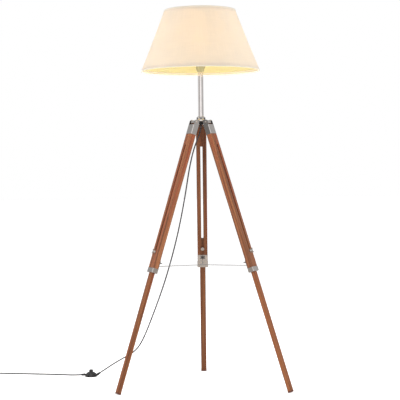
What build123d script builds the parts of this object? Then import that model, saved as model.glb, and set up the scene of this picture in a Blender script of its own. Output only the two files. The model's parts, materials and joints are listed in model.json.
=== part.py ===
from build123d import *
import math
import os

os.makedirs("parts", exist_ok=True)

# Tripod floor lamp, standing on z = 0, +Z up, millimetres.
# Everything is designed about the lamp's upright axis (x = 0, y = 0) and then moved along Y by
# AXIS_Y, so that the origin is under the middle of the lamp's outer box, its cord aside.

# ---------------------------------------------------------------- driving dimensions
AXIS_Y = -74.0

LEG_AZIMUTHS = {"rear": 90.0, "left": 210.0, "right": 330.0}
LEAN = 18.64              # leg lean from the vertical when spread
HINGE_R, HINGE_Z = 28.5, 985.0

# upper leg, stations along the leg from the hinge
UP_W, UP_T = 39.0, 21.7   # width along the hinge, thickness
UP_TOP, UP_END = 14.0, 581.0
SLOT_W, SLOT_TOP, SLOT_END = 8.0, 91.0, 510.0
CH_W, CH_T = 22.2, 14.8   # channel that the lower leg runs in

# lower leg
LO_W, LO_T = 21.4, 14.0
LO_TOP, LO_END, PAD_END = 467.0, 1032.0, 1038.0
BOLT_AT = 506.0

# top bracket
BR_END, BR_WEB_TOP = 48.5, 12.0
BR_PLATE, BR_PROUD = 1.6, 0.5
EAR_R = 9.5
PIVOT_HOLE_R, PIVOT_R = 2.50, 2.45

# ferrule, clamp screw and chain
FER_TOP, FER_END, FER_WALL = 565.5, 582.6, 1.2
TAB_TOP = 531.0
CLAMP_AT, CLAMP_HOLE_R, CLAMP_R = 540.0, 3.00, 2.95
EYE_AT, EYE_X, EYE_R, EYE_WIRE = 554.5, -14.4, 3.0, 1.0
CHAIN_R, CHAIN_SAG, RING_R, RING_WIRE = 1.3, 2.0, 8.0, 1.2

# hub, pole and holder
HUB_R, HUB_BOTTOM, HUB_TOP = 22.0, 988.5, 1007.0
POLE_R, POLE_IN, POLE_FOOT, POLE_TOP = 10.0, 8.6, 991.0, 1172.0
CUP_R, CUP_TOP = 18.5, 1192.0
HOLD_R, SHOULDER = 19.0, 1210.0

# shade
SH_BOTTOM, SH_TOP = 1174.5, 1403.0
SH_RB, SH_RT, SH_WALL = 222.0, 132.0, 1.3

# cord, foot switch and plug
CORD_D = 5.0
SW_AT = (-445.0, 249.0)
SW_R, SW_H, BTN_R, BTN_TOP = 23.5, 18.5, 7.8, 28.0
COIL_AT, COIL_MEAN_R, COIL_W, COIL_H = (-872.0, 320.0), 27.5, 10.0, 15.0
PIN_R, PIN_SPACING, PIN_LEN = 2.0, 19.0, 19.0

sl, cl = math.sin(math.radians(LEAN)), math.cos(math.radians(LEAN))
nodes = {}


def turned(outline):
    """A solid of revolution about Z from (radius, height) points."""
    face = make_face(Polyline(*[(r, 0, z) for r, z in outline], close=True))
    return revolve(face, Axis.Z)


def bar(p, q, r):
    """A round bar from p to q."""
    p, q = Vector(*p), Vector(*q)
    d = q - p
    pl = Plane(origin=p, z_dir=d.normalized())
    return pl.location * Cylinder(r, d.length, align=(Align.CENTER, Align.CENTER, Align.MIN))


def block(x0, x1, y0, y1, z0, z1):
    return Pos((x0 + x1) / 2, (y0 + y1) / 2, (z0 + z1) / 2) * Box(x1 - x0, y1 - y0, z1 - z0)


def rod_x(r, x0, x1, y=0.0, z=0.0):
    return Pos((x0 + x1) / 2, y, z) * Rot(0, 90, 0) * Cylinder(r, x1 - x0)


def rod_y(r, y0, y1, x=0.0, z=0.0):
    return Pos(x, (y0 + y1) / 2, z) * Rot(90, 0, 0) * Cylinder(r, y1 - y0)


def hexagon_y(across, y0, y1, x=0.0, z=0.0):
    face = Plane.XZ.offset(-y0) * RegularPolygon(across / math.sqrt(3), 6)
    return Pos(x, 0, z) * extrude(face, amount=-(y1 - y0))


def leg_plane(azimuth):
    """Local x points out of the leg's outer face, z runs down the leg, origin on the hinge axis."""
    a = math.radians(azimuth)
    u = Vector(math.cos(a), math.sin(a), 0)
    z = Vector(0, 0, 1)
    return Plane(
        origin=u * HINGE_R + z * HINGE_Z, x_dir=u * cl + z * sl, z_dir=u * sl - z * cl
    )


def put(name, shape):
    nodes[name] = shape


def soften(shape, edges, radius):
    """Fillet, or a smaller fillet where the first does not fit."""
    for r in (radius, radius * 0.6, radius * 0.35):
        try:
            out = fillet(edges, r)
            if out.is_valid and out.volume > 0:
                return out
        except Exception:
            pass
    return shape


# ---------------------------------------------------------------- hub
hub = turned(
    [
        (5.0, HUB_BOTTOM), (HUB_R - 1.5, HUB_BOTTOM), (HUB_R, HUB_BOTTOM + 1.5), (HUB_R, 993.5),
        (HUB_R - 1.0, 994.8), (17.6, 995.5), (14.4, 996.6), (12.6, 998.4), (12.6, 1004.6),
        (13.2, 1005.4), (13.2, 1006.4), (12.4, HUB_TOP), (POLE_R + 0.05, HUB_TOP),
        (POLE_R + 0.05, POLE_FOOT), (5.0, POLE_FOOT),
    ]
)
hub -= turned([(0, 980), (5.0, 980), (5.0, 992), (0, 992)])
lug_side = Plane.XZ.offset(-12.0) * make_face(
    Polyline(
        (19.3, 988.9), (19.3, 992.7), (28.2, 992.9), (31.6, 991.8), (34.3, 989.4), (36.0, 985.8), (36.0, 982.4), (34.2, 979.6), (31.0, 977.8),
        (27.6, 977.4), (24.2, 978.6), (22.3, 981.4), (21.6, 985.6), close=True,
    )
)
lug = extrude(lug_side, amount=24.0)
lug -= rod_y(PIVOT_HOLE_R, -14.0, 14.0, HINGE_R, HINGE_Z)
for az in LEG_AZIMUTHS.values():
    hub += Rot(0, 0, az) * lug
SCREW_AZ = (270.0, 150.0, 30.0)
for az in SCREW_AZ:
    hub -= Rot(0, 0, az) * rod_x(1.65, 9.0, 16.0, 0, 1000.6)
put("hub", hub)

# three pole set screws with knurled heads
heads = []
for az in SCREW_AZ:
    s = rod_x(1.6, 10.1, 14.0, 0, 1000.6) + rod_x(3.3, 13.6, 17.4, 0, 1000.6)
    s -= rod_x(1.3, 16.4, 17.6, 0, 1000.6)
    for k in range(12):
        a = math.radians(30 * k)
        s -= rod_x(0.35, 13.9, 17.6, 3.35 * math.cos(a), 1000.6 + 3.35 * math.sin(a))
    heads.append(Rot(0, 0, az) * s)
put("pole_screws", Compound(children=heads))

# pivot bolts, nuts and spacers, in the hub
bolts, nuts, spacers = [], [], []
for az in LEG_AZIMUTHS.values():
    b = rod_y(PIVOT_R, -25.6, 20.4, HINGE_R, HINGE_Z)
    head = rod_y(4.6, 20.3, 23.6, HINGE_R, HINGE_Z)
    head = soften(head, head.edges().filter_by(GeomType.CIRCLE).group_by(Axis.Y)[-1], 1.6)
    head -= hexagon_y(3.0, 22.0, 24.2, HINGE_R, HINGE_Z)
    bolts.append(Rot(0, 0, az) * (b + head))
    n = hexagon_y(8.0, -24.0, -20.3, HINGE_R, HINGE_Z) - rod_y(PIVOT_HOLE_R, -26, -18, HINGE_R, HINGE_Z)
    nuts.append(Rot(0, 0, az) * n)
    for y0, y1 in ((12.1, 18.1), (-18.1, -12.1)):
        w = rod_y(6.2, y0, y1, HINGE_R, HINGE_Z) - rod_y(PIVOT_HOLE_R, y0 - 1, y1 + 1, HINGE_R, HINGE_Z)
        spacers.append(Rot(0, 0, az) * w)
put("pivot_bolts", Compound(children=bolts))
put("pivot_nuts", Compound(children=nuts))
put("pivot_spacers", Compound(children=spacers))

# ---------------------------------------------------------------- pole, gland, leads
put("pole", turned([(POLE_IN, POLE_FOOT), (POLE_R, POLE_FOOT), (POLE_R, POLE_TOP), (POLE_IN, POLE_TOP)]))

gland = turned(
    [
        (2.6, 975.0), (6.2, 975.0), (7.6, 976.6), (8.2, 979.0), (9.6, 979.6), (9.6, 986.6), (9.0, 988.4),
        (4.9, 988.4), (4.9, 996.0), (2.6, 996.0),
    ]
)
for k in range(12):
    a = math.radians(30 * k)
    gland -= Pos(10.0 * math.cos(a), 10.0 * math.sin(a), 983) * Cylinder(0.9, 7.0)
put("cord_gland", gland)
put("inner_lead", Pos(0, 0, (975.0 + 1198.0) / 2) * Cylinder(CORD_D / 2, 1198.0 - 975.0))

nipple = turned(
    [
        (3.2, 1156.0), (8.55, 1156.0), (8.55, 1171.0), (4.9, 1171.0), (4.9, 1188.0), (3.2, 1188.0),
    ]
)
put("pole_nipple", nipple)

# ---------------------------------------------------------------- lampholder
put(
    "holder_cup",
    turned(
        [
            (5.0, 1172.1), (10.0, 1172.1), (10.8, 1172.6), (12.2, 1175.2), (14.4, 1180.4), (16.9, 1186.6), (CUP_R, CUP_TOP),
            (CUP_R - 1.1, CUP_TOP), (15.8, 1187.2), (13.3, 1181.0), (11.3, 1176.2), (10.2, 1174.0), (5.0, 1174.0),
        ]
    ),
)
put("holder_nut", turned([(4.95, 1174.1), (9.0, 1174.1), (9.0, 1177.6), (4.95, 1177.6)]))
put(
    "holder_body",
    turned(
        [
            (3.2, 1192.1), (HOLD_R - 0.4, 1192.1), (HOLD_R, 1192.6), (HOLD_R, SHOULDER), (HOLD_R - 1.8, SHOULDER),
            (HOLD_R - 1.8, 1250.0), (14.6, 1250.0), (14.6, 1213.0), (3.2, 1213.0),
        ]
    ),
)
put(
    "holder_contacts",
    Compound(
        children=[
            turned([(13.75, 1216.0), (14.4, 1216.0), (14.4, 1243.0), (13.75, 1243.0)]),
            Pos(0, 0, 1214.6) * Cylinder(4.2, 3.0),
        ]
    ),
)
put(
    "shade_ring_nut",
    turned(
        [
            (HOLD_R - 1.75, 1212.7), (24.5, 1212.7), (25.0, 1213.2), (25.0, 1219.2), (24.5, 1219.7), (HOLD_R - 1.75, 1219.7),
        ]
    ),
)

# ---------------------------------------------------------------- bulb
put(
    "bulb_cap",
    turned(
        [
            (0, 1217.0), (4.6, 1217.0), (5.2, 1218.4), (10.6, 1220.6), (12.9, 1223.0), (13.15, 1224.0), (13.15, 1243.0), (12.6, 1244.6),
            (0, 1244.6),
        ]
    ),
)
b_out = [(11.5, 1244.7), (12.6, 1250.0), (15.0, 1259.0), (19.5, 1269.5), (25.0, 1280.5), (28.8, 1290.5), (30.0, 1299.0),
         (28.9, 1308.0), (25.6, 1316.5), (20.2, 1323.4), (12.4, 1328.2), (4.0, 1330.0)]
b_in = [(r - 0.9 if r > 5 else 3.6, z - (0.9 if z > 1300 else 0.0)) for r, z in b_out]
glass_face = make_face(
    [
        Polyline((b_in[0][0], 0, b_in[0][1]), (b_out[0][0], 0, b_out[0][1])),
        Spline(*[(r, 0, z) for r, z in b_out]),
        Polyline((b_out[-1][0], 0, b_out[-1][1]), (0, 0, 1330.0), (0, 0, 1329.1), (b_in[-1][0], 0, b_in[-1][1])),
        Spline(*[(r, 0, z) for r, z in reversed(b_in)]),
    ]
)
put("bulb_glass", revolve(glass_face, Axis.Z))

# ---------------------------------------------------------------- shade
slope = (SH_RB - SH_RT) / (SH_TOP - SH_BOTTOM)
put(
    "shade_cover",
    turned(
        [
            (SH_RB, SH_BOTTOM), (SH_RT, SH_TOP), (SH_RT - SH_WALL, SH_TOP), (SH_RB - SH_WALL, SH_BOTTOM),
        ]
    ),
)
WIRE = 1.5


def ring(radius, z, wire):
    return Pos(0, 0, z) * Torus(radius, wire)


def inner_r(z):
    return SH_RB - SH_WALL - slope * (z - SH_BOTTOM)


LOW_Z, HIGH_Z = SH_BOTTOM + 2.6, SH_TOP - 2.6
low_r = inner_r(LOW_Z + WIRE) - WIRE - 0.6
high_r = inner_r(HIGH_Z + WIRE) - WIRE - 0.6
put("shade_bottom_wire", ring(low_r, LOW_Z, WIRE))
put("shade_top_wire", ring(high_r, HIGH_Z, WIRE))
spider = turned([(HOLD_R - 1.6, SHOULDER + 0.1), (27.0, SHOULDER + 0.1), (27.0, SHOULDER + 2.6), (HOLD_R - 1.6, SHOULDER + 2.6)])
for az in LEG_AZIMUTHS.values():
    spoke = bar((25.0, 0, SHOULDER + 1.3), (150.0, 0, SHOULDER + 1.3), 1.6)
    spoke += bar((149.9, 0, SHOULDER + 1.3), (low_r - WIRE - 1.0, 0, LOW_Z + 1.0), 1.6)
    spoke += Pos(150.0, 0, SHOULDER + 1.3) * Sphere(1.6)
    spider += Rot(0, 0, az) * spoke
put("shade_spider", spider)

# ---------------------------------------------------------------- legs
half_w, half_t = UP_W / 2, UP_T / 2
for side, az in LEG_AZIMUTHS.items():
    pl = leg_plane(az)
    at = pl.location

    # bracket: a U of plate round the leg's top, open inwards, with an ear each side of the hub's lug
    yo, yi = half_w + BR_PROUD, half_w + BR_PROUD - BR_PLATE
    xo, xi = half_t + BR_PROUD, half_t + BR_PROUD - BR_PLATE
    u_out = block(-half_t, xo, -yo, yo, BR_WEB_TOP, BR_END)
    u_out = soften(u_out, u_out.edges().filter_by(Axis.Z).group_by(Axis.X)[-1], 3.2)
    bracket = u_out - block(-half_t - 1, xi, -yi, yi, BR_WEB_TOP - 1, BR_END + 1)
    for s in (1, -1):
        y0, y1 = sorted((s * yi, s * yo))
        ear = block(-EAR_R, EAR_R, y0, y1, 0, BR_WEB_TOP + 3) + rod_y(EAR_R, y0, y1)
        bracket += ear
    bracket -= rod_y(PIVOT_HOLE_R, -yo - 2, yo + 2)
    put(f"{side}_bracket", at * bracket)

    # upper leg: slotted wooden rail, hollow below the slot's top for the lower leg
    wood = block(-half_t, half_t, -half_w, half_w, UP_TOP, UP_END)
    wood = soften(wood, wood.edges().filter_by(Axis.Z), 2.0)
    wood -= block(-half_t - 1, half_t + 1, -SLOT_W / 2, SLOT_W / 2, SLOT_TOP, SLOT_END)
    wood -= block(-CH_T / 2, CH_T / 2, -CH_W / 2, CH_W / 2, SLOT_TOP, UP_END + 1)
    wood -= block(xi, half_t + 1, -half_w - 1, half_w + 1, 0, BR_END)
    wood -= block(-half_t - 1, half_t + 1, yi, half_w + 1, 0, BR_END)
    wood -= block(-half_t - 1, half_t + 1, -half_w - 1, -yi, 0, BR_END)
    wood -= rod_x(3.3, -half_t - 1, 0, 0, CLAMP_AT)
    put(f"{side}_upper_leg", at * wood)

    # ferrule: a band with a floor, an inner plate, a tapped hole and an eye for the chain
    fx, fy = half_t + FER_WALL, half_w + FER_WALL
    band = block(-fx, fx, -fy, fy, FER_TOP, FER_END)
    band = soften(band, band.edges().filter_by(Axis.Z), 2.6)
    band -= block(-half_t - 0.02, half_t + 0.02, -half_w - 0.02, half_w + 0.02, FER_TOP - 1, UP_END + 0.02)
    band -= block(-CH_T / 2 - 0.1, CH_T / 2 + 0.1, -CH_W / 2 - 0.1, CH_W / 2 + 0.1, UP_END - 1, FER_END + 1)
    tab = block(-fx, -half_t - 0.02, -half_w + 1.0, half_w - 1.0, TAB_TOP, FER_TOP + 2)
    tab = soften(tab, tab.edges().filter_by(Axis.X).group_by(Axis.Z)[0], 4.0)
    boss = rod_x(5.6, -fx - 1.0, -fx + 0.5, 0, CLAMP_AT)
    eye = Pos(EYE_X, 0, EYE_AT) * Rot(90, 0, 0) * Torus(EYE_R, EYE_WIRE)
    eye -= block(-fx + 0.5, 0, -10, 10, EYE_AT - 10, EYE_AT + 10)
    ferrule = band + tab + boss + eye
    ferrule -= rod_x(CLAMP_HOLE_R, -fx - 3, 0, 0, CLAMP_AT)
    put(f"{side}_ferrule", at * ferrule)

    # clamp screw: threaded through the ferrule's plate, pressing on the lower leg, with wings
    wing_x0 = -fx - 1.0 - 1.4
    shank = rod_x(CLAMP_R, wing_x0 - 0.5, -CH_T / 2 + 0.1, 0, CLAMP_AT)
    neck = turned([(0, 0), (5.2, 0), (4.6, 5.0), (3.6, 8.0), (0, 8.0)])
    neck = Pos(wing_x0, 0, CLAMP_AT) * Rot(0, -90, 0) * neck
    wing_face = make_face(
        Polyline(
            (0, 0), (2.5, 0), (6.0, 1.8), (9.4, 6.0), (9.2, 10.0), (7.2, 12.4), (4.6, 11.0), (2.2, 7.0),
            (0, 6.4), close=True,
        )
    )
    wings = []
    for s in (1, -1):
        w = extrude(wing_face, amount=1.3, both=True)
        w = soften(w, w.edges().filter_by(Axis.Z), 0.9)
        # the outline's x runs sideways and its y runs away from the leg
        m = Plane(origin=(wing_x0 - 0.2, 0, CLAMP_AT), x_dir=(0, s, 0), z_dir=(0, 0, s))
        wings.append(m.location * w)
    clamp = shank + neck + wings[0] + wings[1]
    put(f"{side}_clamp_screw", at * clamp)

    # lower leg, its foot pad cut level with the floor, and the bolt that runs in the slot
    lower = block(-LO_T / 2, LO_T / 2, -LO_W / 2, LO_W / 2, LO_TOP, LO_END)
    lower = soften(lower, lower.edges().filter_by(Axis.Z), 1.6)
    lower -= rod_x(3.0, -LO_T, LO_T, 0, BOLT_AT)
    put(f"{side}_lower_leg", at * lower)
    pad = block(-LO_T / 2 - 0.3, LO_T / 2 + 0.3, -LO_W / 2 - 0.3, LO_W / 2 + 0.3, LO_END, PAD_END)
    pad = soften(pad, pad.edges().filter_by(Axis.Z), 1.8)
    pad = at * pad
    pad -= Pos(0, 0, -50) * Box(2000, 2000, 100)
    put(f"{side}_foot", pad)

    bolt = rod_x(2.98, -half_t - 0.4, half_t + 10.0, 0, BOLT_AT)
    head = rod_x(7.0, -half_t - 3.4, -half_t - 0.35, 0, BOLT_AT)
    head = soften(head, head.edges().filter_by(GeomType.CIRCLE).group_by(SortBy.LENGTH)[-1], 1.4)
    square = block(-half_t - 0.5, -LO_T / 2 - 0.1, -3.7, 3.7, BOLT_AT - 3.7, BOLT_AT + 3.7)
    washer = rod_x(7.4, half_t + 0.35, half_t + 1.75, 0, BOLT_AT) - rod_x(3.1, half_t, half_t + 3, 0, BOLT_AT)
    put(f"{side}_slide_bolt", Compound(children=[at * (bolt + head + square), at * washer]))

    # wing nut on the bolt's outer end
    nut_x0 = half_t + 2.0
    cone = turned([(0, 0), (6.4, 0), (6.2, 1.6), (4.8, 7.4), (4.2, 8.0), (0, 8.0)])
    cone = Pos(nut_x0, 0, BOLT_AT) * Rot(0, 90, 0) * cone
    lobes = []
    for s in (1, -1):
        face = make_face(
            Polyline((0, 0.4), (5.0, 0.4), (7.2, 2.6), (8.8, 6.6), (8.7, 10.0), (7.2, 11.6), (5.4, 10.6), (3.8, 7.2), (0, 6.6), close=True)
        )
        lobe = extrude(face, amount=1.5, both=True)
        lobe = soften(lobe, lobe.edges().filter_by(Axis.Z), 1.0)
        # the outline's x runs along the leg and its y runs away from it
        m = Plane(origin=(nut_x0, 0, BOLT_AT), x_dir=(0, 0, s), z_dir=(0, s, 0))
        if m.y_dir.X < 0:
            m = Plane(origin=(nut_x0, 0, BOLT_AT), x_dir=(0, 0, s), z_dir=(0, -s, 0))
        lobes.append(m.location * lobe)
    nut = cone + lobes[0] + lobes[1] - rod_x(3.04, nut_x0 - 1, nut_x0 + 14, 0, BOLT_AT)
    put(f"{side}_wing_nut", at * nut)

# chain: an arm from each leg's eye to the ring in the middle
a = {k: math.radians(v) for k, v in LEG_AZIMUTHS.items()}
eye_r = HINGE_R + EYE_AT * sl + EYE_X * cl
eye_z = HINGE_Z - EYE_AT * cl + EYE_X * sl
CHAIN_START = EYE_R + EYE_WIRE + 0.6
for side in LEG_AZIMUTHS:
    c, s = math.cos(a[side]), math.sin(a[side])
    inner = RING_R + RING_WIRE + (0.0 if side == "rear" else 1.6)
    if side == "rear":
        inner = RING_R + RING_WIRE + 0.05
    outer = eye_r - CHAIN_START
    put(f"{side}_chain", bar((c * outer, s * outer, eye_z), (c * inner, s * inner, eye_z - CHAIN_SAG), CHAIN_R))
put("chain_ring", Pos(0, 0, eye_z - CHAIN_SAG) * Torus(RING_R, RING_WIRE))

# ---------------------------------------------------------------- cord
R30 = math.radians(150.0)
hang = [
    (0, 975), (3.5, 950), (20, 915), (36.5, 876), (54.7, 808), (68, 736), (83.5, 664), (100.7, 593), (120.5, 523),
    (143.1, 453), (167.9, 384), (195.4, 317), (225.3, 250), (255.5, 185), (282, 138), (311.5, 108), (350, 87),
    (392, 65), (434, 40), (470.5, 17.5),
]
upper_pts = [(r * math.cos(R30), r * math.sin(R30), z) for r, z in hang]
floor_z = CORD_D / 2 + 0.1
floor_pts = [
    (-484.0, 263.2, 5.6), (-514.0, 274.5, floor_z), (-556.0, 288.0, floor_z), (-608.0, 301.5, floor_z),
    (-668.0, 314.0, floor_z), (-732.0, 328.5, floor_z), (-792.0, 340.5, floor_z), (-836.0, 350.0 - 1.6, floor_z),
    (COIL_AT[0], COIL_AT[1] + COIL_MEAN_R + COIL_W / 4, floor_z),
]
tail_x = COIL_AT[0] - COIL_MEAN_R - COIL_W / 4
tail_pts = [(tail_x, COIL_AT[1], floor_z), (tail_x, COIL_AT[1] - 18.0, 3.4), (tail_x, COIL_AT[1] - 35.0, 7.2)]


def cord_tube(name, pts):
    vs = [Vector(*p) for p in pts]
    runs = [(vs[i + 1] - vs[i]).length for i in range(len(vs) - 1)]
    radii, turns = [], []
    for i in range(1, len(vs) - 1):
        d0, d1 = (vs[i] - vs[i - 1]), (vs[i + 1] - vs[i])
        turn = d0.get_angle(d1)
        turns.append(turn)
        radii.append(0.45 * min(runs[i - 1], runs[i]) / math.tan(math.radians(turn / 2)))
    line = FilletPolyline(*vs, radius=radii)
    start = Plane(origin=vs[0], z_dir=(vs[1] - vs[0]).normalized())
    tube = sweep(start * Circle(CORD_D / 2), path=line)
    section = math.pi * CORD_D**2 / 4
    print(f"{name}: length {line.length:.1f} mm, volume over section x length {tube.volume / (section * line.length):.4f}")
    print("  runs " + " ".join(f"{r:.0f}" for r in runs))
    print("  turns " + " ".join(f"{t:.1f}" for t in turns))
    print("  radii " + " ".join(f"{r:.0f}" for r in radii) + f", smallest {min(radii):.0f}")
    put(name, tube)
    return line.length


upper_len = cord_tube("cord_upper", upper_pts)
floor_len = cord_tube("cord_floor", floor_pts)
tail_len = cord_tube("cord_tail", tail_pts)
ri, ro = COIL_MEAN_R - COIL_W / 2, COIL_MEAN_R + COIL_W / 2
coil = turned(
    [(ri + 2, 0.1), (ro - 2, 0.1), (ro, 2.1), (ro, COIL_H - 2), (ro - 2, COIL_H), (ri + 2, COIL_H), (ri, COIL_H - 2), (ri, 2.1)]
)
put("cord_coil", Pos(COIL_AT[0], COIL_AT[1], 0) * coil)

# foot switch: base, dome cover with a button, and a relief each side
up_dir = Vector(*upper_pts[-1]) - Vector(*upper_pts[-2])
floor_dir = Vector(*floor_pts[1]) - Vector(*floor_pts[0])
sw = Pos(SW_AT[0], SW_AT[1], 0)
base = sw * turned([(0, 0), (SW_R - 1.2, 0), (SW_R, 0.8), (SW_R, 3.0), (0, 3.0)])
dome_out = [(SW_R, 3.1), (SW_R - 0.5, 6.0), (21.4, 9.6), (18.6, 13.4), (15.0, 16.4), (11.6, 18.0), (10.0, SW_H)]
dome = turned(dome_out + [(BTN_R + 0.35, SW_H), (BTN_R + 0.35, 13.4), (13.0, 13.0), (17.6, 9.6), (20.6, 5.6), (21.2, 3.1)])
cover = sw * dome


def relief(p, d, length, r0, r1):
    """A tapered sleeve that starts round the cord at p and runs on along d into the switch."""
    pl2 = Plane(origin=Vector(*p), z_dir=d.normalized())
    s = turned([(0, 0), (r0, 0), (r0 + 0.5, 0.8), (r1, length), (0, length)])
    return pl2.location * s


rel_a = relief(upper_pts[-1], up_dir, 17.0, 3.1, 5.0)
rel_b = relief(floor_pts[0], floor_dir * -1, 16.0, 3.1, 4.6)
# the reliefs pass through the cover's wall and end inside it
ports = []
cut_top = Pos(SW_AT[0], SW_AT[1], 3.1)
inner_core = sw * turned([(0, 0), (18.5, 0), (18.5, 20), (0, 20)])
floor_cut = Pos(0, 0, -40) * Box(3000, 3000, 80)
rel_a = rel_a - inner_core - base - floor_cut
rel_b = rel_b - inner_core - base - floor_cut
cover = cover - rel_a - rel_b
put("switch_base", base)
put("switch_cover", cover)
put("switch_reliefs", Compound(children=[rel_a, rel_b]))
put("switch_block", sw * turned([(0, 3.1), (11.0, 3.1), (11.0, 8.2), (0, 8.2)]))
button = turned(
    [(0, 12.4), (BTN_R + 1.6, 12.4), (BTN_R + 1.6, 12.9), (BTN_R, 12.9), (BTN_R, BTN_TOP - 2.2), (BTN_R - 0.7, BTN_TOP - 0.8), (BTN_R - 2.2, BTN_TOP), (0, BTN_TOP)]
)
put("switch_button", sw * button)

# plug, lying flat, pins towards -Y
px, py, pz = tail_pts[-1]
outline = make_face(
    Polyline(
        (-6.5, 0), (6.5, 0), (8.5, -8.0), (17.6, -17.0), (17.6, -30.0), (13.2, -37.0), (-13.2, -37.0), (-17.6, -30.0), (-17.6, -17.0), (-8.5, -8.0),
        close=True,
    )
)
plug = Pos(0, 0, -6.9) * extrude(outline, amount=13.8)
plug = soften(plug, plug.edges().filter_by(Axis.Z), 2.0)
plug = soften(plug, plug.edges().group_by(Axis.Z)[0] + plug.edges().group_by(Axis.Z)[-1], 2.2)
sleeve = turned([(0, 0), (3.3, 0), (3.3, 10.0), (5.0, 22.0), (0, 22.0)])
sleeve = Plane(origin=(0, 12.0, 0), z_dir=(0, -1, 0)).location * sleeve
plug += sleeve
plug_at = Pos(px, py - 12.0, pz)
pins = []
for s in (-1, 1):
    pin = rod_y(PIN_R, -37.0 - PIN_LEN, -37.0, s * PIN_SPACING / 2, 0)
    pin = soften(pin, pin.edges().filter_by(GeomType.CIRCLE).group_by(Axis.Y)[0], 1.4)
    pin += rod_y(PIN_R - 0.5, -37.0, -34.0, s * PIN_SPACING / 2, 0)
    plug -= rod_y(PIN_R - 0.5, -38.0, -34.0, s * PIN_SPACING / 2, 0)
    pins.append(plug_at * pin)
put("plug_body", plug_at * plug)
put("plug_pins", Compound(children=pins))

coil_turns = 5.25
coil_len = coil_turns * 2 * math.pi * COIL_MEAN_R
print(f"cord: {upper_len:.0f} hanging + {floor_len:.0f} on the floor + {coil_len:.0f} coiled + {tail_len:.0f} tail = {upper_len + floor_len + coil_len + tail_len:.0f} mm")

# ---------------------------------------------------------------- write
shift = Pos(0, AXIS_Y, 0)
for name, shape in nodes.items():
    export_step(shift * shape, f"parts/{name}.step")
print(len(nodes), "nodes")
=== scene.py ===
import bpy
import bmesh
import json
import math
import random
from mathutils import Matrix, Vector

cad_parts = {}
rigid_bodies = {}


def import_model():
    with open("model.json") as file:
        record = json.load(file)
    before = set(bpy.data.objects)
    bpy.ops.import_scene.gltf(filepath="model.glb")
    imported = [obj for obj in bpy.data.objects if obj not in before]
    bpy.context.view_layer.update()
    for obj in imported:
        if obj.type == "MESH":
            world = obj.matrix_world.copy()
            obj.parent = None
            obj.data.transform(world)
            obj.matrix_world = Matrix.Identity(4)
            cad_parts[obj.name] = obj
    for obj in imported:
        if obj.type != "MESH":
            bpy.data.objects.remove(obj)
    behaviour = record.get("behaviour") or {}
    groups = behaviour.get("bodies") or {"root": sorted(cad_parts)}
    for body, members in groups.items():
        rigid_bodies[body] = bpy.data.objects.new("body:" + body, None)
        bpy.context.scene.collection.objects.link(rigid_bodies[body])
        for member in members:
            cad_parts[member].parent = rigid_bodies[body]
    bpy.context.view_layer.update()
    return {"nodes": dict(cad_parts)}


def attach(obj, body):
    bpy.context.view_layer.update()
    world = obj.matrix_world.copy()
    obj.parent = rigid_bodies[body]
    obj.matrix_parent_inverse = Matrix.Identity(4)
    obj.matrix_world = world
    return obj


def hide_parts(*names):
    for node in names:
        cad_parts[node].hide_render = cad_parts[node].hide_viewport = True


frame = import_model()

scene = bpy.context.scene
OY = -0.074                      # the lamp's upright axis stands at x = 0, y = OY
LEAN = math.radians(18.64)
SL, CL = math.sin(LEAN), math.cos(LEAN)
HINGE_R, HINGE_Z = 0.0285, 0.985
AZ = {"rear": 90.0, "left": 210.0, "right": 330.0}


# ------------------------------------------------------------------ camera and light
def look(location, pitch, roll, lens, shift=(0.0, 0.0)):
    data = bpy.data.cameras.new("camera")
    data.lens, data.sensor_width = lens, 36.0
    data.shift_x, data.shift_y = shift
    data.clip_start, data.clip_end = 0.05, 60.0
    cam = bpy.data.objects.new("camera", data)
    cam.matrix_world = (
        Matrix.Translation(location)
        @ Matrix.Rotation(math.radians(90.0 - pitch), 4, "X")
        @ Matrix.Rotation(math.radians(-roll), 4, "Z")
    )
    scene.collection.objects.link(cam)
    scene.camera = cam


look(Vector((-0.0075, OY - 4.733, 0.781)), 1.04, 0.7, 114.03)


def area(name, at, target, size, power, colour=(1, 1, 1), size_y=None):
    data = bpy.data.lights.new(name, "AREA")
    data.shape = "RECTANGLE"
    data.size, data.size_y = size, size_y or size
    data.energy, data.color = power, colour
    o = bpy.data.objects.new(name, data)
    o.location = at
    o.rotation_euler = (Vector(target) - Vector(at)).to_track_quat("-Z", "Y").to_euler()
    o.visible_glossy = False
    scene.collection.objects.link(o)
    return o


room = [
    area("key_left", (-2.9, -1.7, 2.2), (0, OY, 0.7), 1.5, 40, (1.0, 0.985, 0.96), 2.0),
    area("fill_right", (3.0, -1.3, 1.9), (0, OY, 0.7), 1.5, 30, (0.97, 0.985, 1.0), 2.2),
    area("top", (0.0, 0.4, 3.6), (0, OY, 0.4), 2.6, 42),
    area("back_strip", (1.4, 2.6, 1.6), (0, OY, 0.8), 0.7, 16, (1, 1, 1), 2.0),
]
sides = [
    area("shade_left", (-2.0, 0.35 + OY, 1.35), (0, OY, 1.29), 0.9, 17, (0.97, 0.985, 1.0), 1.2),
    area("shade_right", (2.0, 0.35 + OY, 1.35), (0, OY, 1.29), 0.9, 17, (0.97, 0.985, 1.0), 1.2),
    area("shade_low", (0.0, -2.2 + OY, 0.45), (0, OY, 1.20), 1.2, 5, (0.96, 0.98, 1.0)),
]


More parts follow.
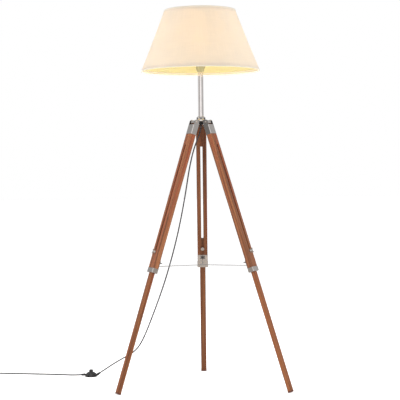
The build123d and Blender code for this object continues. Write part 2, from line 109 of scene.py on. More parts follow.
def world():
    """White for the backdrop; a soft grey studio with darker gaps for what the metal reflects."""
    w = bpy.data.worlds.new("studio")
    scene.world = w
    w.use_nodes = True
    nt = w.node_tree
    nt.nodes.clear()
    new = lambda kind: nt.nodes.new("ShaderNode" + kind)
    out, bg, tc, sep, lp, mix, mul = new("OutputWorld"), new("Background"), new("TexCoord"), new("SeparateXYZ"), new("LightPath"), new("Mix"), new("Mix")
    nt.links.new(tc.outputs["Generated"], sep.inputs[0])

    def ramp(stops):
        node = new("ValToRGB")
        cr = node.color_ramp
        cr.interpolation = "EASE"
        cr.elements[0].position, cr.elements[1].position = stops[0][0], stops[-1][0]
        cr.elements[0].color = (stops[0][1],) * 3 + (1,)
        cr.elements[1].color = (stops[-1][1],) * 3 + (1,)
        for pos, val in stops[1:-1]:
            cr.elements.new(pos).color = (val, val, val, 1)
        return node

    mp = new("MapRange")
    mp.inputs["From Min"].default_value = -1.0
    nt.links.new(sep.outputs["Z"], mp.inputs["Value"])
    height = ramp([(0.0, 0.90), (0.46, 0.90), (0.50, 0.98), (0.58, 0.84), (0.72, 0.80), (1.0, 1.0)])
    nt.links.new(mp.outputs["Result"], height.inputs["Fac"])
    at = new("Math")
    at.operation = "ARCTAN2"
    nt.links.new(sep.outputs["Y"], at.inputs[0])
    nt.links.new(sep.outputs["X"], at.inputs[1])
    turn = new("MapRange")
    turn.inputs["From Min"].default_value = -math.pi
    turn.inputs["From Max"].default_value = math.pi
    nt.links.new(at.outputs[0], turn.inputs["Value"])
    # 0 is -X, 0.25 is -Y (behind the camera), 0.5 is +X, 0.75 is +Y
    stops = [(0.0, 1.30), (0.045, 0.70), (0.083, 0.16), (0.12, 0.34), (0.165, 1.15), (0.25, 1.30), (0.335, 1.10), (0.385, 0.55), (0.417, 0.46),
             (0.455, 0.56), (0.50, 0.66), (0.545, 0.66), (0.59, 0.62), (0.65, 0.40), (0.71, 0.70), (0.80, 0.80), (0.87, 0.55), (0.917, 0.44),
             (0.955, 0.70), (1.0, 1.30)]
    round_ = ramp(stops)
    nt.links.new(turn.outputs["Result"], round_.inputs["Fac"])
    mul.data_type, mul.blend_type = "RGBA", "MULTIPLY"
    mul.inputs["Factor"].default_value = 1.0
    nt.links.new(height.outputs["Color"], mul.inputs["A"])
    nt.links.new(round_.outputs["Color"], mul.inputs["B"])
    mix.data_type = "RGBA"
    nt.links.new(mul.outputs["Result"], mix.inputs["A"])
    mix.inputs["B"].default_value = (1.0, 1.0, 1.0, 1)
    nt.links.new(lp.outputs["Is Camera Ray"], mix.inputs["Factor"])
    nt.links.new(mix.outputs["Result"], bg.inputs["Color"])
    nt.links.new(bg.outputs[0], out.inputs[0])


world()
scene.view_settings.view_transform = "Standard"
scene.view_settings.look = "None"


# ------------------------------------------------------------------ node helpers
class Mat:
    """A small builder for procedural materials."""

    def __init__(self, name):
        self.m = bpy.data.materials.new(name)
        self.m.use_nodes = True
        self.nt = self.m.node_tree
        self.p = self.nt.nodes["Principled BSDF"]
        self.out = self.nt.nodes["Material Output"]

    def n(self, kind, **settings):
        node = self.nt.nodes.new("ShaderNode" + kind)
        for k, v in settings.items():
            if k.startswith("i_"):
                node.inputs[k[2:].replace("_", " ")].default_value = v
            else:
                setattr(node, k, v)
        return node

    def link(self, a, b):
        self.nt.links.new(a, b)

    def math(self, op, a, b=None, c=None, clamp=False):
        node = self.nt.nodes.new("ShaderNodeMath")
        node.operation, node.use_clamp = op, clamp
        for i, v in enumerate((a, b, c)):
            if v is None:
                continue
            if isinstance(v, (int, float)):
                node.inputs[i].default_value = v
            else:
                self.link(v, node.inputs[i])
        return node.outputs[0]

    def mapr(self, v, a, b, c, d, smooth=False):
        node = self.n("MapRange", clamp=True)
        if smooth:
            node.interpolation_type = "SMOOTHSTEP"
        self.link(v, node.inputs["Value"])
        for k, x in zip(("From Min", "From Max", "To Min", "To Max"), (a, b, c, d)):
            node.inputs[k].default_value = x
        return node.outputs["Result"]

    def mix(self, fac, a, b, mode="MIX"):
        node = self.n("Mix", data_type="RGBA", blend_type=mode)
        for sock, v in ((node.inputs["Factor"], fac), (node.inputs["A"], a), (node.inputs["B"], b)):
            if isinstance(v, (int, float)):
                sock.default_value = v
            elif isinstance(v, tuple):
                sock.default_value = (*v, 1.0) if len(v) == 3 else v
            else:
                self.link(v, sock)
        return node.outputs["Result"]

    def ramp(self, v, stops, ease="LINEAR"):
        node = self.n("ValToRGB")
        cr = node.color_ramp
        cr.interpolation = ease
        cr.elements[0].position, cr.elements[1].position = stops[0][0], stops[-1][0]
        cr.elements[0].color = (*stops[0][1], 1)
        cr.elements[1].color = (*stops[-1][1], 1)
        for pos, col in stops[1:-1]:
            cr.elements.new(pos).color = (*col, 1)
        self.link(v, node.inputs["Fac"])
        return node.outputs["Color"]

    def noise(self, vec, scale, detail=3.0, rough=0.5, distort=0.0):
        node = self.n("TexNoise", i_Scale=scale, i_Detail=detail, i_Roughness=rough, i_Distortion=distort)
        if vec is not None:
            self.link(vec, node.inputs["Vector"])
        return node.outputs["Fac"]

    def object_vec(self):
        return self.n("TexCoord").outputs["Object"]

    def mapping(self, vec, scale=(1, 1, 1), loc=(0, 0, 0), rot=(0, 0, 0)):
        node = self.n("Mapping")
        node.inputs["Scale"].default_value = scale
        node.inputs["Location"].default_value = loc
        node.inputs["Rotation"].default_value = rot
        self.link(vec, node.inputs["Vector"])
        return node.outputs["Vector"]

    def bump(self, height, strength, distance, after=None):
        node = self.n("Bump", i_Strength=strength, i_Distance=distance)
        self.link(height, node.inputs["Height"])
        if after is not None:
            self.link(after, node.inputs["Normal"])
        return node.outputs["Normal"]


def lin(r, g, b):
    """8-bit display colour to linear light."""
    f = lambda c: c / 12.92 if c <= 0.04045 else ((c + 0.055) / 1.055) ** 2.4
    return tuple(f(x / 255.0) for x in (r, g, b))


# ------------------------------------------------------------------ materials
def chrome(name, base=0.80, rough=0.09, spread=0.08, tint=(1.0, 1.0, 1.01), pits=0.1):
    k = Mat(name)
    v = k.object_vec()
    cloud = k.noise(v, 38.0, 4.0, 0.55)
    fine = k.noise(k.mapping(v, (1, 1, 0.25)), 900.0, 2.0, 0.6)
    k.p.inputs["Metallic"].default_value = 1.0
    col = k.mix(k.mapr(cloud, 0.35, 0.7, 0.0, 1.0), tuple(base * t for t in tint), tuple(base * 0.9 * t for t in tint))
    k.link(col, k.p.inputs["Base Color"])
    r = k.math("ADD", k.mapr(cloud, 0.3, 0.75, rough, rough + spread), k.mapr(fine, 0.4, 0.7, 0.0, 0.03))
    k.link(r, k.p.inputs["Roughness"])
    k.link(k.bump(fine, pits, 0.00005), k.p.inputs["Normal"])
    return k.m


def steel(name, base, rough=0.32, streak=(1, 1, 0.05)):
    k = Mat(name)
    v = k.object_vec()
    lines = k.noise(k.mapping(v, streak), 1400.0, 3.0, 0.6)
    cloud = k.noise(v, 60.0, 3.0, 0.5)
    k.p.inputs["Metallic"].default_value = 1.0
    k.link(k.mix(k.mapr(lines, 0.35, 0.65, 0, 1), tuple(c * 0.82 for c in base), base), k.p.inputs["Base Color"])
    k.link(k.math("ADD", k.mapr(cloud, 0.3, 0.7, rough - 0.06, rough + 0.08), k.mapr(lines, 0.4, 0.6, 0.0, 0.06)), k.p.inputs["Roughness"])
    k.link(k.bump(lines, 0.15, 0.00004), k.p.inputs["Normal"])
    return k.m


def moulded(name, base, rough=0.25, spread=0.12, grain=1800.0, bump=0.08, coat=0.0, spec=0.5):
    k = Mat(name)
    v = k.object_vec()
    cloud = k.noise(v, 45.0, 4.0, 0.6)
    g = k.noise(v, grain, 2.0, 0.5)
    k.link(k.mix(k.mapr(cloud, 0.35, 0.68, 0, 1), base, tuple(min(1.0, c * 1.35 + 0.004) for c in base)), k.p.inputs["Base Color"])
    k.link(k.math("ADD", k.mapr(cloud, 0.3, 0.7, rough, rough + spread), k.mapr(g, 0.45, 0.7, 0.0, 0.06)), k.p.inputs["Roughness"])
    k.link(k.bump(g, bump, 0.0001), k.p.inputs["Normal"])
    k.p.inputs["Coat Weight"].default_value = coat
    k.p.inputs["Specular IOR Level"].default_value = spec
    return k.m


def leg_frame(azimuth):
    """Rotation rows: x out of the leg's outer face, y across it, z down the leg."""
    a = math.radians(azimuth)
    u, z = Vector((math.cos(a), math.sin(a), 0)), Vector((0, 0, 1))
    n, d = u * CL + z * SL, u * SL - z * CL
    return Matrix((n, d.cross(n), d)), u * HINGE_R + z * HINGE_Z + Vector((0, OY, 0))


def wood(name, azimuth, seed, dark=1.0, half=(0.01085, 0.0195)):
    """Oiled teak with its grain down the leg; dark scales all its colours down."""
    k = Mat(name)
    rows, origin = leg_frame(azimuth)
    shift = -(rows @ origin)
    v = k.mapping(k.object_vec(), (1, 1, 1), shift, rows.to_euler("XYZ"))
    s = seed * 0.37
    # slow bends of the grain along the leg
    bend = k.noise(k.mapping(v, (6.0, 6.0, 2.2), (s, -s, s * 2)), 1.0, 2.0, 0.5)
    sx = k.n("SeparateXYZ")
    k.link(v, sx.inputs[0])
    off = k.math("MULTIPLY", k.math("SUBTRACT", bend, 0.5), 0.030)
    cx = k.n("CombineXYZ")
    k.link(k.math("ADD", sx.outputs["X"], off), cx.inputs["X"])
    k.link(k.math("ADD", sx.outputs["Y"], k.math("MULTIPLY", off, 0.8)), cx.inputs["Y"])
    k.link(sx.outputs["Z"], cx.inputs["Z"])
    vb = cx.outputs["Vector"]
    # growth bands, streaks, pores
    bands = k.noise(k.mapping(vb, (150.0, 210.0, 1.6), (s * 3, s, 0)), 1.0, 3.0, 0.55)
    wide = k.noise(k.mapping(vb, (52.0, 60.0, 1.3), (s, s * 5, s)), 1.0, 2.0, 0.5)
    streak = k.noise(k.mapping(vb, (620.0, 620.0, 5.0), (s, 0, s)), 1.0, 4.0, 0.65)
    pores = k.noise(k.mapping(vb, (1900.0, 1900.0, 42.0), (0, s, s)), 1.0, 2.0, 0.5)
    tone = k.math("ADD", k.math("MULTIPLY", bands, 0.62), k.math("MULTIPLY", streak, 0.38))
    stops = [
        (0.30, lin(84, 46, 28)), (0.42, lin(118, 70, 44)), (0.50, lin(143, 88, 56)),
        (0.58, lin(160, 101, 63)), (0.70, lin(184, 124, 80)),
    ]
    base = k.ramp(tone, [(p, tuple(c * dark for c in col)) for p, col in stops])
    red = k.mapr(wide, 0.50, 0.66, 0.0, 0.62, True)
    base = k.mix(red, base, tuple(c * dark for c in lin(150, 70, 46)))
    deep = k.mapr(wide, 0.44, 0.32, 0.0, 0.5, True)
    base = k.mix(deep, base, tuple(c * dark for c in lin(96, 58, 38)))
    pore = k.mapr(pores, 0.60, 0.70, 0.0, 1.0)
    base = k.mix(k.math("MULTIPLY", pore, 0.55), base, tuple(c * dark for c in lin(74, 38, 24)))
    # handled arrises: a little darker and smoother
    ex = k.mapr(k.math("ABSOLUTE", sx.outputs["X"]), half[0] - 0.0022, half[0], 0.0, 1.0, True)
    ey = k.mapr(k.math("ABSOLUTE", sx.outputs["Y"]), half[1] - 0.0030, half[1], 0.0, 1.0, True)
    edge = k.math("MULTIPLY", ex, ey)
    base = k.mix(k.math("MULTIPLY", edge, 0.55), base, tuple(c * dark for c in lin(92, 52, 36)))
    k.link(base, k.p.inputs["Base Color"])
    rough = k.math("ADD", k.mapr(streak, 0.3, 0.7, 0.34, 0.50), k.math("MULTIPLY", pore, 0.18))
    k.link(rough, k.p.inputs["Roughness"])
    k.p.inputs["Specular IOR Level"].default_value = 0.42
    h = k.math("SUBTRACT", k.math("MULTIPLY", streak, 0.5), k.math("MULTIPLY", pore, 0.9))
    k.link(k.bump(h, 0.35, 0.00025), k.p.inputs["Normal"])
    return k.m


def fabric(name, colour, through, weight=0.5, forward=0.5):
    """Thin shade cloth: a plain weave that scatters the light behind it forward."""
    k = Mat(name)
    v = k.object_vec()
    sx = k.n("SeparateXYZ")
    k.link(v, sx.inputs[0])
    # angle round the lamp's axis, its break at the back where the seam is
    y = k.math("SUBTRACT", sx.outputs["Y"], OY)
    ang = k.math("ARCTAN2", sx.outputs["X"], k.math("MULTIPLY", y, -1.0))
    u = k.math("MULTIPLY", ang, 0.176)
    w = k.math("MULTIPLY", sx.outputs["Z"], 1.068)
    pitch = 2 * math.pi / 0.0011
    a = k.math("SINE", k.math("MULTIPLY", u, pitch))
    b = k.math("SINE", k.math("MULTIPLY", w, pitch))
    weave = k.math("ADD", k.math("MULTIPLY", k.math("MULTIPLY", a, b), 0.5), 0.5)
    cu = k.n("CombineXYZ")
    k.link(k.math("MULTIPLY", u, 14.0), cu.inputs["X"])
    k.link(k.math("MULTIPLY", w, 420.0), cu.inputs["Y"])
    slub_h = k.noise(cu.outputs[0], 1.0, 3.0, 0.6)
    cv = k.n("CombineXYZ")
    k.link(k.math("MULTIPLY", u, 420.0), cv.inputs["X"])
    k.link(k.math("MULTIPLY", w, 14.0), cv.inputs["Y"])
    slub_v = k.noise(cv.outputs[0], 1.0, 3.0, 0.6)
    slub = k.math("MULTIPLY", k.math("ADD", slub_h, slub_v), 0.5)
    cloud = k.noise(v, 9.0, 2.0, 0.5)
    tone = k.math("ADD", k.math("MULTIPLY", slub, 0.8), k.math("MULTIPLY", cloud, 0.2))
    col = k.mix(k.mapr(tone, 0.38, 0.62, 0.0, 1.0), tuple(c * 0.93 for c in colour), colour)
    col = k.mix(k.mapr(weave, 0.0, 0.5, 0.10, 0.0), col, tuple(c * 0.8 for c in colour))
    thr = k.mix(k.mapr(tone, 0.38, 0.62, 0.0, 1.0), tuple(c * 0.90 for c in through), through)
    h = k.math("ADD", k.math("MULTIPLY", weave, 0.6), k.math("MULTIPLY", slub, 0.9))
    nrm = k.bump(h, 0.35, 0.00022)
    k.link(col, k.p.inputs["Base Color"])
    k.p.inputs["Roughness"].default_value = 0.85
    k.p.inputs["Sheen Weight"].default_value = 0.6
    k.p.inputs["Sheen Roughness"].default_value = 0.5
    k.p.inputs["Specular IOR Level"].default_value = 0.2
    k.link(nrm, k.p.inputs["Normal"])
    tr = k.n("BsdfTranslucent")
    k.link(thr, tr.inputs["Color"])
    k.link(nrm, tr.inputs["Normal"])
    fw = k.n("BsdfRefraction")
    fw.inputs["Roughness"].default_value = 0.85
    fw.inputs["IOR"].default_value = 1.35
    k.link(thr, fw.inputs["Color"])
    mt = k.n("MixShader")
    mt.inputs["Fac"].default_value = forward
    k.link(tr.outputs[0], mt.inputs[1])
    k.link(fw.outputs[0], mt.inputs[2])
    ms = k.n("MixShader")
    ms.inputs["Fac"].default_value = weight
    k.link(k.p.outputs[0], ms.inputs[1])
    k.link(mt.outputs[0], ms.inputs[2])
    k.link(ms.outputs[0], k.out.inputs["Surface"])
    return k.m


M = {
    "chrome": chrome("chrome_plate", 0.76, 0.10, 0.07, (1.0, 0.94, 0.90), 0.03),
    "chrome_pole": chrome("chrome_pole", 0.84, 0.09, 0.04, (1.0, 0.94, 0.92), 0.02),
    # the cup is chrome; its strong yellow tint is a painted reflection of the warm-lit shade interior
    "cup": chrome("chrome_cup", 0.99, 0.30, 0.06, (1.0, 0.93, 0.52), 0.02),
    "pad": moulded("foot_pad", lin(92, 54, 42), 0.60, 0.15, 1600.0, 0.25),
    "dark_steel": steel("dark_steel", (0.20, 0.20, 0.205), 0.34),
    "steel": steel("bright_steel", (0.60, 0.60, 0.60), 0.26),
    "brass": steel("contact_brass", (0.72, 0.52, 0.22), 0.30),
    "cap": steel("cap_metal", (0.78, 0.78, 0.78), 0.25),
    "black": moulded("black_plastic", (0.012, 0.012, 0.013), 0.16, 0.12, 2200.0, 0.05, 0.25),
    "rubber": moulded("black_rubber", (0.020, 0.020, 0.020), 0.55, 0.15, 1600.0, 0.25),
    "cord": moulded("cord_sheath", lin(66, 64, 66), 0.42, 0.12, 2600.0, 0.12, 0.0, 0.4),
    "white_paint": moulded("white_wire", lin(238, 236, 228), 0.35, 0.10, 1500.0, 0.10),
    "holder": moulded("holder_shell", lin(226, 220, 204), 0.38, 0.12, 1800.0, 0.08),
    "shade": fabric("shade_fabric", (0.86, 0.88, 0.92), (0.96, 0.78, 0.50), 0.50, 0.40),
    "liner": fabric("shade_liner", (0.92, 0.88, 0.45), (0.94, 0.85, 0.68), 0.55, 0.40),
    "hem": fabric("shade_hem_fabric", (0.94, 0.93, 0.89), (0.97, 0.91, 0.75), 0.50),
}
# painted glow: a constant warm emission on the shade cloth, its hems and seam stands in for the bulb's light scattered
# through the cloth
for key, glow in (("shade", 0.20), ("hem", 0.23)):
    p = next(n for n in M[key].node_tree.nodes if n.type == "BSDF_PRINCIPLED")
    p.inputs["Emission Color"].default_value = (1.0, 0.80, 0.50, 1)
    p.inputs["Emission Strength"].default_value = glow
# painted shade: the rear leg's two copies are darkened to about 0.6 as a leg standing in shade; the other legs' copies
# are darkened by at most 0.86
for side, az in AZ.items():
    M[side + "_teak"] = wood(side + "_teak", az, {"left": 1.0, "right": 2.3, "rear": 4.1}[side], {"left": 1.0, "right": 0.96, "rear": 0.62}[side])
    M[side + "_teak_low"] = wood(
        side + "_teak_low", az, {"left": 7.2, "right": 5.7, "rear": 9.4}[side], {"left": 0.86, "right": 0.98, "rear": 0.60}[side], (0.007, 0.0107)
    )
# painted shade: the rear leg and the thin lower legs show less sheen, their specular and coat turned down as for faces
# in shade
for key in ("rear_teak", "rear_teak_low", "left_teak_low", "right_teak_low"):
    p = next(n for n in M[key].node_tree.nodes if n.type == "BSDF_PRINCIPLED")
    p.inputs["Specular IOR Level"].default_value = 0.2
    p.inputs["Coat Weight"].default_value = 0.0


def glass():
    k = Mat("glass_opal")
    v = k.object_vec()
    cloud = k.noise(v, 40.0, 3.0, 0.5)
    k.link(k.mix(cloud, lin(255, 248, 232), lin(248, 240, 222)), k.p.inputs["Base Color"])
    k.link(k.mapr(cloud, 0.3, 0.7, 0.18, 0.30), k.p.inputs["Roughness"])
    k.p.inputs["Emission Color"].default_value = (*lin(255, 226, 170), 1)
    k.p.inputs["Emission Strength"].default_value = 2.0
    return k.m


M["glass"] = glass()


def dress(node, key):
    """A CAD node keeps its shape and takes a finished material."""
    o = frame["nodes"][node]
    o.data.materials.clear()
    o.data.materials.append(M[key])


for n in ("hub", "pivot_bolts", "pivot_nuts"):
    dress(n, "chrome")
dress("holder_cup", "cup")
dress("pole", "chrome_pole")
dress("pole_screws", "dark_steel")
dress("pivot_spacers", "rubber")
dress("cord_gland", "black")
dress("inner_lead", "cord")
dress("pole_nipple", "steel")
dress("holder_nut", "steel")
dress("holder_body", "holder")
dress("holder_contacts", "brass")
dress("shade_ring_nut", "holder")
dress("bulb_cap", "cap")
dress("bulb_glass", "glass")
for n in ("shade_top_wire", "shade_bottom_wire", "shade_spider"):
    dress(n, "white_paint")
for n in ("switch_base", "switch_cover", "switch_block", "switch_button", "plug_body"):
    dress(n, "black")
dress("switch_reliefs", "rubber")
dress("plug_pins", "steel")
dress("chain_ring", "steel")
for side in AZ:
    for part in ("bracket", "ferrule", "slide_bolt", "wing_nut"):
        dress(f"{side}_{part}", "chrome")
    dress(f"{side}_clamp_screw", "dark_steel")
    dress(f"{side}_foot", "pad")
    dress(f"{side}_upper_leg", side + "_teak")
    dress(f"{side}_lower_leg", side + "_teak_low")


# ------------------------------------------------------------------ mesh helpers
def mesh_object(name, bm, mats, smooth=True):
    me = bpy.data.meshes.new(name)
    bm.to_mesh(me)
    bm.free()
    for m in mats:
        me.materials.append(m)
    if smooth:
        for f in me.polygons:
            f.use_smooth = True
    o = bpy.data.objects.new(name, me)
    scene.collection.objects.link(o)
    return o


def lathe(bm, profile, steps=192, material=0, axis=(0.0, OY), closed=True):
    """Turns a closed outline of (r, z) points about the lamp's axis."""
    rings = []
    for i in range(steps):
        a = 2 * math.pi * i / steps
        c, s = math.cos(a), math.sin(a)
        rings.append([bm.verts.new((axis[0] + r * c, axis[1] + r * s, z)) for r, z in profile])
    n = len(profile)
    for i in range(steps):
        p, q = rings[i], rings[(i + 1) % steps]
        for j in range(n if closed else n - 1):
            k = (j + 1) % n
            f = bm.faces.new((p[j], q[j], q[k], p[k]))
            f.material_index = material[j] if isinstance(material, (list, tuple)) else material
    return rings


# ------------------------------------------------------------------ shade
SH_B, SH_T, R_B, R_T, WALL = 1.1745, 1.403, 0.222, 0.132, 0.0009
slope = (R_B - R_T) / (SH_T - SH_B)


def shade_r(z):
    return R_B - slope * (z - SH_B)


def shade():
    bm = bmesh.new()
    lo, hi, rows = SH_B + 0.0012, SH_T - 0.0012, 40
    outer, inner = [], []
    for i in range(rows + 1):
        z = lo + (hi - lo) * i / rows
        # the cloth is drawn in very slightly between its two wires
        waist = 0.0012 * math.sin(math.pi * i / rows)
        r = shade_r(z) - 0.0002 - waist
        outer.append((r, z))
        inner.append((r - WALL, z))
    outline = outer + inner[::-1]
    mats = [0] * rows + [0] + [1] * rows + [0]
    lathe(bm, outline, 256, mats)
    bmesh.ops.recalc_face_normals(bm, faces=bm.faces)
    cover = mesh_object("shade_cloth", bm, [M["shade"], M["liner"]])
    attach(cover, "hub")

    # rolled hems round the two wires
    for name, z0, sign in (("shade_hem_bottom", SH_B, 1), ("shade_hem_top", SH_T, -1)):
        bm = bmesh.new()
        zc = z0 + sign * 0.0030
        prof = []
        for j in range(28):
            a = 2 * math.pi * j / 28
            # flattened on the outside, tucked in on the inside
            dr, dz = 0.0023 * math.cos(a), 0.0030 * math.sin(a)
            r = shade_r(zc) - 0.0018 + dr - slope * dz
            prof.append((r, zc + dz))
        lathe(bm, prof, 256, 0)
        # the turned-under edge, a thin band on the inside
        band = []
        z1, z2 = z0 + sign * 0.0052, z0 + sign * 0.0120
        for z in (z1, (z1 + z2) / 2, z2):
            band.append((shade_r(z) - 0.0012 - 0.0012 * math.sin(math.pi * (z - SH_B) / (SH_T - SH_B)), z))
        back = [(r - 0.0005, z) for r, z in band[::-1]]
        lathe(bm, band + back, 256, 0)
        bmesh.ops.recalc_face_normals(bm, faces=bm.faces)
        h = mesh_object(name, bm, [M["hem"]])
        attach(h, "hub")

    # the glued lap joint down the back
    bm = bmesh.new()
    rows, cols, half = 40, 6, 0.0060
    top, under = [], []
    for i in range(rows + 1):
        z = (SH_B + 0.0062) + (SH_T - SH_B - 0.0124) * i / rows
        waist = 0.0012 * math.sin(math.pi * i / rows)
        line_t, line_u = [], []
        for j in range(cols + 1):
            s = -half + 2 * half * j / cols
            r0 = shade_r(z) - waist - 0.0001
            a = math.pi / 2 + s / r0
            lift = 0.00045 * (1 - abs(s / half) ** 6)
            line_t.append(bm.verts.new(((r0 + lift) * math.cos(a), OY + (r0 + lift) * math.sin(a), z)))
            line_u.append(bm.verts.new(((r0 - 0.0002) * math.cos(a), OY + (r0 - 0.0002) * math.sin(a), z)))
        top.append(line_t)
        under.append(line_u)
    for i in range(rows):
        for j in range(cols):
            bm.faces.new((top[i][j], top[i][j + 1], top[i + 1][j + 1], top[i + 1][j]))
            bm.faces.new((under[i][j], under[i + 1][j], under[i + 1][j + 1], under[i][j + 1]))
    for i in range(rows):
        for j in (0, cols):
            bm.faces.new((top[i][j], top[i + 1][j], under[i + 1][j], under[i][j]))
    for i in (0, rows):
        for j in range(cols):
            bm.faces.new((top[i][j], top[i][j + 1], under[i][j + 1], under[i][j]))
    bmesh.ops.recalc_face_normals(bm, faces=bm.faces)
    seam = mesh_object("shade_seam", bm, [M["hem"]])
    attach(seam, "hub")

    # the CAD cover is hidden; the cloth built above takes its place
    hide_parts("shade_cover")


shade()

# the bulb's light, inside the shade
data = bpy.data.lights.new("bulb_light", "POINT")
data.energy, data.color = 0.85, (1.0, 0.64, 0.20)
data.shadow_soft_size = 0.028
bulb = bpy.data.objects.new("bulb_light", data)
bulb.location = (0, OY, 1.296)
scene.collection.objects.link(bulb)
for n in ("bulb_glass", "shade_top_wire", "shade_bottom_wire"):
    frame["nodes"][n].visible_shadow = False


# ------------------------------------------------------------------ spreader chain
def chain_arm(name, body, start, end, node):
    """Small welded links from the leg's eye to the centre ring, each turned a quarter from the last."""
    bm = bmesh.new()
    p, q = Vector(start), Vector(end)
    span = (q - p).length
    wire, pitch = 0.00055, 0.0049
    count = max(3, round(span / pitch))
    pitch = span / count
    half, rad = pitch / 2 + wire * 0.9, 0.00165
    d = (q - p).normalized()
    side = d.cross(Vector((0, 0, 1))).normalized()
    up = side.cross(d).normalized()
    rnd = random.Random(hash_seed(name))
    for i in range(count):
        c = p + d * pitch * (i + 0.5)
        turn = math.radians((45 if i % 2 else -45) + rnd.uniform(-9, 9))
        across = side * math.cos(turn) + up * math.sin(turn)
        normal = d.cross(across)
        path = []
        straight = half - rad
        for j in range(20):
            a = 2 * math.pi * j / 20
            x = rad * math.cos(a) + (straight if math.cos(a) >= 0 else -straight)
            path.append(c + d * x + across * rad * math.sin(a))
        rings = []
        for j in range(20):
            t = (path[(j + 1) % 20] - path[j - 1]).normalized()
            b = t.cross(normal).normalized()
            rings.append([bm.verts.new(path[j] + (normal * math.cos(g) + b * math.sin(g)) * wire) for g in (2 * math.pi * m / 8 for m in range(8))])
        for j in range(20):
            r0, r1 = rings[j], rings[(j + 1) % 20]
            for m in range(8):
                bm.faces.new((r0[m], r0[(m + 1) % 8], r1[(m + 1) % 8], r1[m]))
    bmesh.ops.recalc_face_normals(bm, faces=bm.faces)
    o = mesh_object(name, bm, [M["steel"]])
    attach(o, body)
    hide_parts(node)
    return o


def hash_seed(text):
    return sum((i + 1) * ord(ch) for i, ch in enumerate(text))


EYE_T, EYE_X, SAG = 0.5545, -0.0144, 0.002
eye_r = HINGE_R + EYE_T * SL + EYE_X * CL
eye_z = HINGE_Z - EYE_T * CL + EYE_X * SL
for side, az in AZ.items():
    a = math.radians(az)
    c, s = math.cos(a), math.sin(a)
    r_out = eye_r - 0.0024
    r_in = 0.0070 if side == "rear" else 0.0072
    chain_arm(side + "_chain_links", side + "_chain", (c * r_out, OY + s * r_out, eye_z), (c * r_in, OY + s * r_in, eye_z - SAG), side + "_chain")


# ------------------------------------------------------------------ cord
COS, SIN = math.cos(math.radians(150)), math.sin(math.radians(150))
hang = [
    (0, 975), (3.5, 950), (20, 915), (36.5, 876), (54.7, 808), (68, 736), (83.5, 664), (100.7, 593), (120.5, 523),
    (143.1, 453), (167.9, 384), (195.4, 317), (225.3, 250), (255.5, 185), (282, 138), (311.5, 108), (350, 87),
    (392, 65), (434, 40), (470.5, 17.5),
]
upper_pts = [(r * COS / 1000, r * SIN / 1000 + OY, z / 1000) for r, z in hang]
D = 0.005


def cord_curve(name, pts, body="hub", steps=12):
    cu = bpy.data.curves.new(name, "CURVE")
    cu.dimensions = "3D"
    cu.bevel_depth = D / 2
    cu.bevel_resolution = 6
    cu.use_fill_caps = True
    cu.resolution_u = steps
    sp = cu.splines.new("NURBS")
    sp.points.add(len(pts) - 1)
    for p, co in zip(sp.points, pts):
        p.co = (*co, 1.0)
    sp.order_u = 3
    sp.use_endpoint_u = True
    cu.materials.append(M["cord"])
    o = bpy.data.objects.new(name, cu)
    scene.collection.objects.link(o)
    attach(o, body)
    return o


first = cord_curve("cord_to_switch", upper_pts)
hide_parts("cord_upper")

floor_z = 0.0026
second_pts = [
    (-484.0, 263.2, 5.6), (-514.0, 274.5, 2.6), (-556.0, 288.0, 2.6), (-608.0, 301.5, 2.6),
    (-668.0, 314.0, 2.6), (-732.0, 328.5, 2.6), (-792.0, 340.5, 2.6), (-836.0, 348.4, 2.6),
]
pts = [(x / 1000, y / 1000 + OY, z / 1000) for x, y, z in second_pts]
CX, CY = -0.872, 0.320 + OY
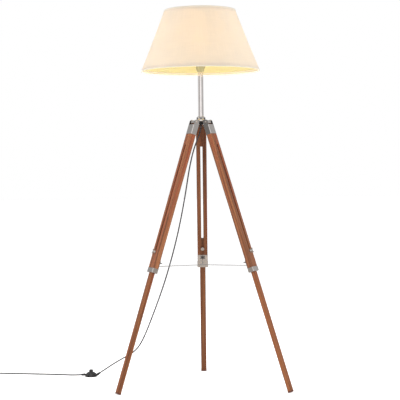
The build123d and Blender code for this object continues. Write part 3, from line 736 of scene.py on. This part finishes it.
# the put-away turns: two abreast and three high, ending on the far side, heading back past the lamp to the plug
turns, per = 5.25, 14
total = round(turns * per)
spans = (1.75, 3.5, turns)
for i in range(total + 1):
    t = i / per
    ang = math.pi / 2 + 2 * math.pi * t
    low = 0 if t < spans[0] else 1 if t < spans[1] else 2
    f = (t - (0.0, spans[0], spans[1])[low]) / (spans[low] - (0.0, spans[0], spans[1])[low])
    # each layer crosses once between the two radii, and climbs to the next near its end
    wide = 0.0300 if low % 2 == 0 else 0.0251
    slim = 0.0251 if low % 2 == 0 else 0.0300
    ease = min(1.0, max(0.0, (f - 0.42) / 0.16))
    ease = ease * ease * (3 - 2 * ease)
    rr = wide + (slim - wide) * ease
    rise = min(1.0, max(0.0, (f - 0.90) / 0.10)) if low < 2 else 0.0
    zz = 0.0026 + 0.0050 * (low + rise * rise * (3 - 2 * rise))
    pts.append((CX + rr * math.cos(ang), CY + rr * math.sin(ang), min(zz, 0.0125)))
# the tail drops from the top layer straight into the plug's neck
pts += [(-0.8990, 0.311 + OY, 0.0118), (-0.9015, 0.300 + OY, 0.0095), (-0.9020, 0.285 + OY, 0.0072)]
second = cord_curve("cord_to_plug", pts, steps=6)
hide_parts("cord_floor", "cord_coil", "cord_tail")

# ------------------------------------------------------------------ floor
bm = bmesh.new()
bmesh.ops.create_grid(bm, x_segments=8, y_segments=8, size=40.0)
floor = mesh_object("floor", bm, [], smooth=False)
floor.location = (0, 0, -0.0002)
k = Mat("pale_floor")
v = k.object_vec()
seen = k.n("LightPath").outputs["Is Glossy Ray"]
pale = k.mix(k.noise(v, 2.5, 3.0, 0.5), (0.90, 0.90, 0.90), (0.93, 0.93, 0.93))
k.link(k.mix(seen, pale, (0.52, 0.48, 0.44)), k.p.inputs["Base Color"])
k.p.inputs["Roughness"].default_value = 0.9
k.p.inputs["Specular IOR Level"].default_value = 0.1
k.p.inputs["Emission Color"].default_value = (1, 1, 1, 1)
k.link(k.mapr(seen, 0.0, 1.0, 0.5, 0.0), k.p.inputs["Emission Strength"])
floor.data.materials.append(k.m)

# the shade is lit by its own bulb and its painted glow, so the room's lamps pass it by; two side lamps that touch its
# edges and one low lamp in front light only the shade pieces
cloth, others = bpy.data.collections.new("shade_pieces"), bpy.data.collections.new("all_but_the_shade")
for o in bpy.data.objects:
    if o.type in {"MESH", "CURVE"}:
        (cloth if o.name.startswith("shade_") else others).objects.link(o)
for o in room:
    o.light_linking.receiver_collection = others
for o in sides:
    o.light_linking.receiver_collection = cloth

bpy.context.view_layer.update()
